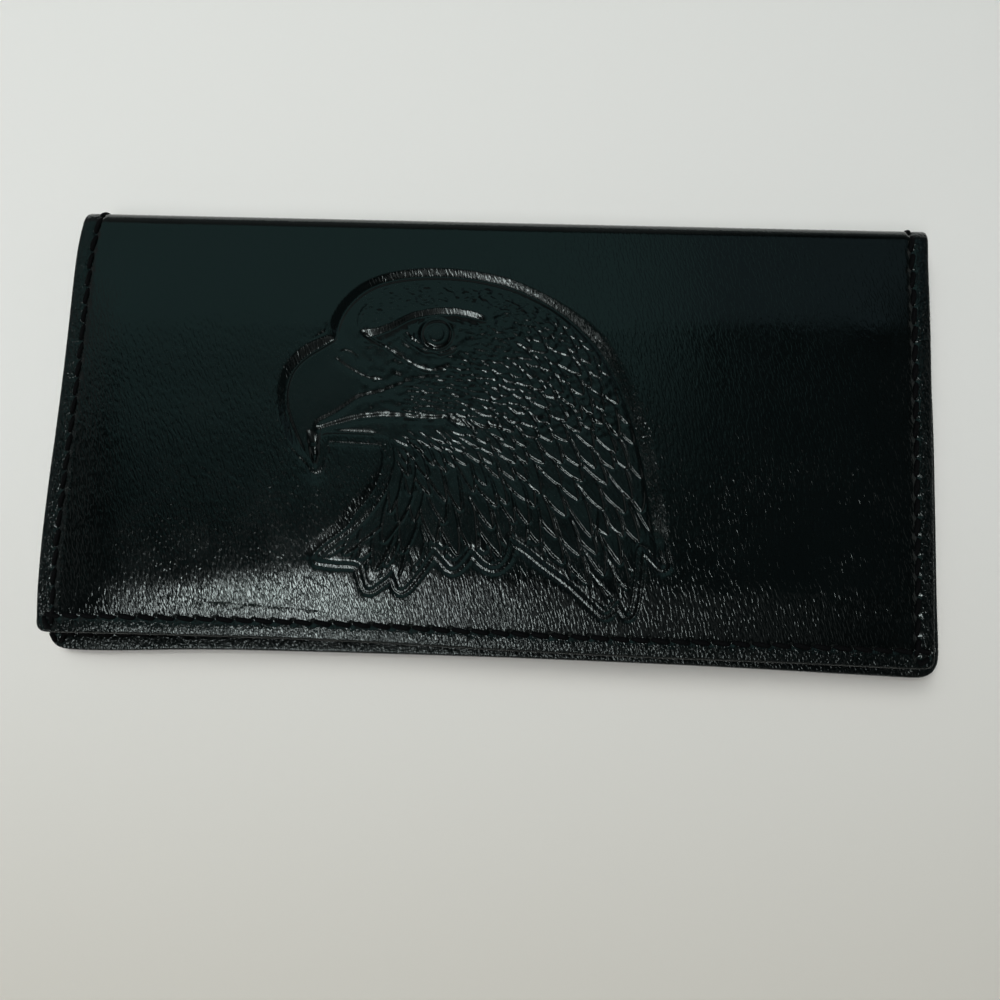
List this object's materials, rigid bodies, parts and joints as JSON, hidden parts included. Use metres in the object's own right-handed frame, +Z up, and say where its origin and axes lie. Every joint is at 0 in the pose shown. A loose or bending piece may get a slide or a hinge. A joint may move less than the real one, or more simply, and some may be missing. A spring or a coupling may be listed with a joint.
{
  "type": "long bifold wallet",
  "caption": "Closed long bifold leather wallet with a pressed figure on the flap, stitched edges, a long pocket, stepped card slots and a slip pocket; opens flat over a two-crease fold.",
  "frame": {"origin": "middle of the closed wallet's footprint, on the plane it rests on", "axes": "+X along the length of the fold, +Y from the free edge towards the fold, +Z up through the front flap"},
  "size_m": [0.1716, 0.0878, 0.0107],
  "materials": {
    "outer_leather": "smooth black cowhide, semi-gloss, fine grain, plain cut edges",
    "pocket_leather": "thinner black leather, satin",
    "lining": "black woven lining",
    "thread": "black twisted thread"
  },
  "bodies": {
    "back_half": {"back_cover": "outer_leather", "back_lining": "lining", "back_pocket": "pocket_leather", "back_seam_thread": "thread"},
    "spine": {"spine_cover": "outer_leather", "spine_lining": "lining", "spine_thread_left": "thread", "spine_thread_right": "thread"},
    "front_half": {"front_cover": "outer_leather", "front_lining": "lining", "card_panel": "pocket_leather", "card_slot_upper": "pocket_leather", "card_slot_middle": "pocket_leather", "card_slot_lower": "pocket_leather", "slip_pocket": "pocket_leather", "divider_thread": "thread", "front_seam_thread": "thread"}
  },
  "joints": [
    {"name": "back_crease", "type": "hinge", "parent": "back_half", "child": "spine", "pos_m": [0, 0.04256, 0.00134], "axis": [-1, 0, 0], "range_deg": [0, 90]},
    {"name": "front_crease", "type": "hinge", "parent": "spine", "child": "front_half", "pos_m": [0, 0.04256, 0.00801], "axis": [-1, 0, 0], "range_deg": [0, 89.05]}
  ],
  "couplings": [
    {"joint": "front_crease", "follows": "back_crease", "ratio": 0.98944}
  ]
}
